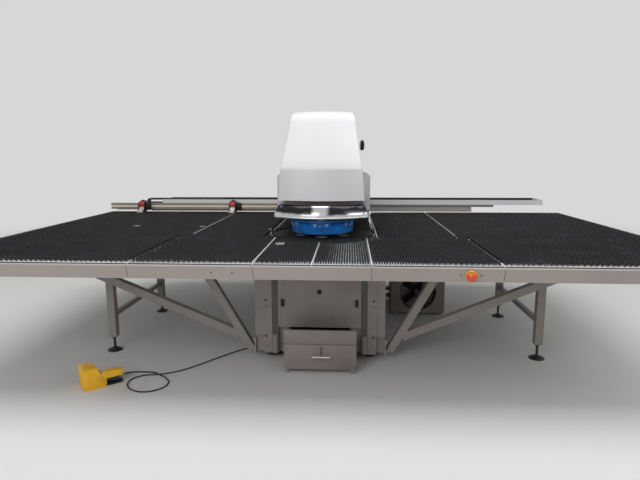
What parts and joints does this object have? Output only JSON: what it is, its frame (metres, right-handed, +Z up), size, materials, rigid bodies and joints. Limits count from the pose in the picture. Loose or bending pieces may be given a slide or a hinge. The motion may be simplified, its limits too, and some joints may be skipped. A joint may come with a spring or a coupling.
{
  "type": "turret punch press",
  "caption": "CNC turret punch press: C-shaped frame with white nose hood and blue turret over a wide black brush table, sheet clamps on a bridge, scrap drawer and foot pedal.",
  "frame": {"origin": "on the floor, in the middle of the machine's width and depth", "axes": "+X along the table's front to the operator's right, +Y away from the operator towards the column, +Z up"},
  "size_m": [5.17, 4.53, 1.9503],
  "materials": {
    "frame_paint": "satin warm grey paint",
    "dark_paint": "dark grey paint",
    "hood_white": "smooth white paint",
    "turret_blue": "glossy blue enamel",
    "polished_steel": "polished stainless",
    "machined_steel": "machined",
    "blackened_steel": "blackened, oiled",
    "zinc_sheet": "galvanised sheet",
    "aluminium": "anodised profile",
    "bristle": "black nylon bristle",
    "black_plastic": "matte",
    "clamp_red": "red paint",
    "stop_red": "gloss",
    "stop_yellow": "satin",
    "pedal_yellow": "powder coat",
    "treadle_blue": "ribbed",
    "cable_black": "matte jacket"
  },
  "bodies": {
    "machine": {"c_frame": "frame_paint", "frame_webs": "frame_paint", "frame_brackets": "frame_paint", "machine_feet": "blackened_steel", "base_front_cover": "frame_paint", "cover_locks": "black_plastic", "fascia_left": "frame_paint", "fascia_right": "frame_paint", "vent_strips": "dark_paint", "arm_cheek_left": "frame_paint", "arm_cheek_right": "frame_paint", "hood_skirt": "polished_steel", "ram_cylinder": "dark_paint", "turret_spindle": "machined_steel", "index_motor": "dark_paint", "apron_centre": "frame_paint", "apron_inner_left": "frame_paint", "apron_inner_right": "frame_paint", "apron_outer_left": "frame_paint", "apron_outer_right": "frame_paint", "side_frame_left": "frame_paint", "side_frame_right": "frame_paint", "struts": "frame_paint", "table_feet": "blackened_steel", "tray_front_centre": "zinc_sheet", "trays_front_sides": "zinc_sheet", "tray_back_centre": "zinc_sheet", "trays_back_sides": "zinc_sheet", "brushes_front": "bristle", "brushes_back": "bristle", "y_rails": "machined_steel", "stop_base": "stop_yellow", "pedal_guard": "pedal_yellow", "pedal_cable": "cable_black", "power_unit": "frame_paint", "control_cabinet": "frame_paint"},
    "hood": {"nose_hood": "hood_white"},
    "hood_knob": {"hood_knob": "black_plastic"},
    "ram": {"ram_striker": "machined_steel"},
    "turret": {"upper_turret": "turret_blue", "turret_gear": "machined_steel", "punch_holders": "machined_steel"},
    "lower_turret": {"lower_turret": "blackened_steel", "dies": "machined_steel"},
    "index_pinion": {"index_pinion": "machined_steel"},
    "bridge": {"bridge_beam": "aluminium", "x_blocks": "blackened_steel", "chain_tray": "hood_white", "drag_chain": "black_plastic"},
    "carriage": {"x_carriage": "aluminium"},
    "clamp_left": {"clamp_left": "clamp_red"},
    "clamp_right": {"clamp_right": "clamp_red"},
    "jaw_left": {"jaw_left": "machined_steel"},
    "jaw_right": {"jaw_right": "machined_steel"},
    "drawer": {"scrap_drawer": "frame_paint", "drawer_handle": "machined_steel"},
    "stop_button": {"stop_button": "stop_red"},
    "treadle": {"pedal_treadle": "treadle_blue"},
    "fan": {"cooler_fan": "black_plastic"},
    "door": {"cabinet_door": "frame_paint"}
  },
  "joints": [
    {"name": "bridge_travel", "type": "slide", "parent": "machine", "child": "bridge", "axis": [0, -1, 0], "range_m": [0, 1.1]},
    {"name": "carriage_travel", "type": "slide", "parent": "bridge", "child": "carriage", "axis": [1, 0, 0], "range_m": [0, 2.25]},
    {"name": "clamp_left_shift", "type": "slide", "parent": "carriage", "child": "clamp_left", "axis": [1, 0, 0], "range_m": [-0.3, 0.4]},
    {"name": "clamp_right_shift", "type": "slide", "parent": "carriage", "child": "clamp_right", "axis": [1, 0, 0], "range_m": [-0.4, 0.8]},
    {"name": "jaw_left_open", "type": "hinge", "parent": "clamp_left", "child": "jaw_left", "pos_m": [-2.152, 0.45237, 1.01], "axis": [-1, 0, 0], "range_deg": [0, 8]},
    {"name": "jaw_right_open", "type": "hinge", "parent": "clamp_right", "child": "jaw_right", "pos_m": [-1.101, 0.45237, 1.01], "axis": [-1, 0, 0], "range_deg": [0, 8]},
    {"name": "turret_index", "type": "hinge", "parent": "machine", "child": "turret", "pos_m": [0, -1.01663, 1.03], "axis": [0, 0, 1], "continuous": true},
    {"name": "lower_turret_index", "type": "hinge", "parent": "machine", "child": "lower_turret", "pos_m": [0, -1.01663, 0.93], "axis": [0, 0, 1], "continuous": true},
    {"name": "pinion_spin", "type": "hinge", "parent": "machine", "child": "index_pinion", "pos_m": [-0.11597, -0.90066, 1.109], "axis": [0, 0, 1], "continuous": true},
    {"name": "ram_stroke", "type": "slide", "parent": "machine", "child": "ram", "axis": [0, 0, -1], "range_m": [0, 0.028]},
    {"name": "hood_open", "type": "hinge", "parent": "machine", "child": "hood", "pos_m": [0, -0.16663, 1.6], "axis": [-1, 0, 0], "range_deg": [0, 55]},
    {"name": "knob_turn", "type": "hinge", "parent": "hood", "child": "hood_knob", "pos_m": [0.3, -0.88663, 1.676], "axis": [1, 0, 0], "range_deg": [0, 90]},
    {"name": "drawer_pull", "type": "slide", "parent": "machine", "child": "drawer", "axis": [0, -1, 0], "range_m": [0, 0.55]},
    {"name": "stop_press", "type": "slide", "parent": "machine", "child": "stop_button", "axis": [0, 0.943, 0.3328], "range_m": [0, 0.006], "stiffness_N_per_m": 3000, "springref_m": -0.001},
    {"name": "treadle_press", "type": "hinge", "parent": "machine", "child": "treadle", "pos_m": [-1.43858, -1.85252, 0.024], "axis": [0.6561, -0.7547, 0], "range_deg": [0, 5], "stiffness_Nm_per_rad": 20, "springref_deg": -5.73},
    {"name": "fan_spin", "type": "hinge", "parent": "machine", "child": "fan", "pos_m": [0.915, -0.19163, 0.232], "axis": [0, 1, 0], "continuous": true},
    {"name": "door_swing", "type": "hinge", "parent": "machine", "child": "door", "pos_m": [-0.604, 2.12937, 0.9], "axis": [0, 0, -1], "range_deg": [0, 120]}
  ],
  "couplings": [
    {"joint": "lower_turret_index", "follows": "turret_index", "ratio": 1},
    {"joint": "pinion_spin", "follows": "turret_index", "ratio": -3.5556}
  ]
}
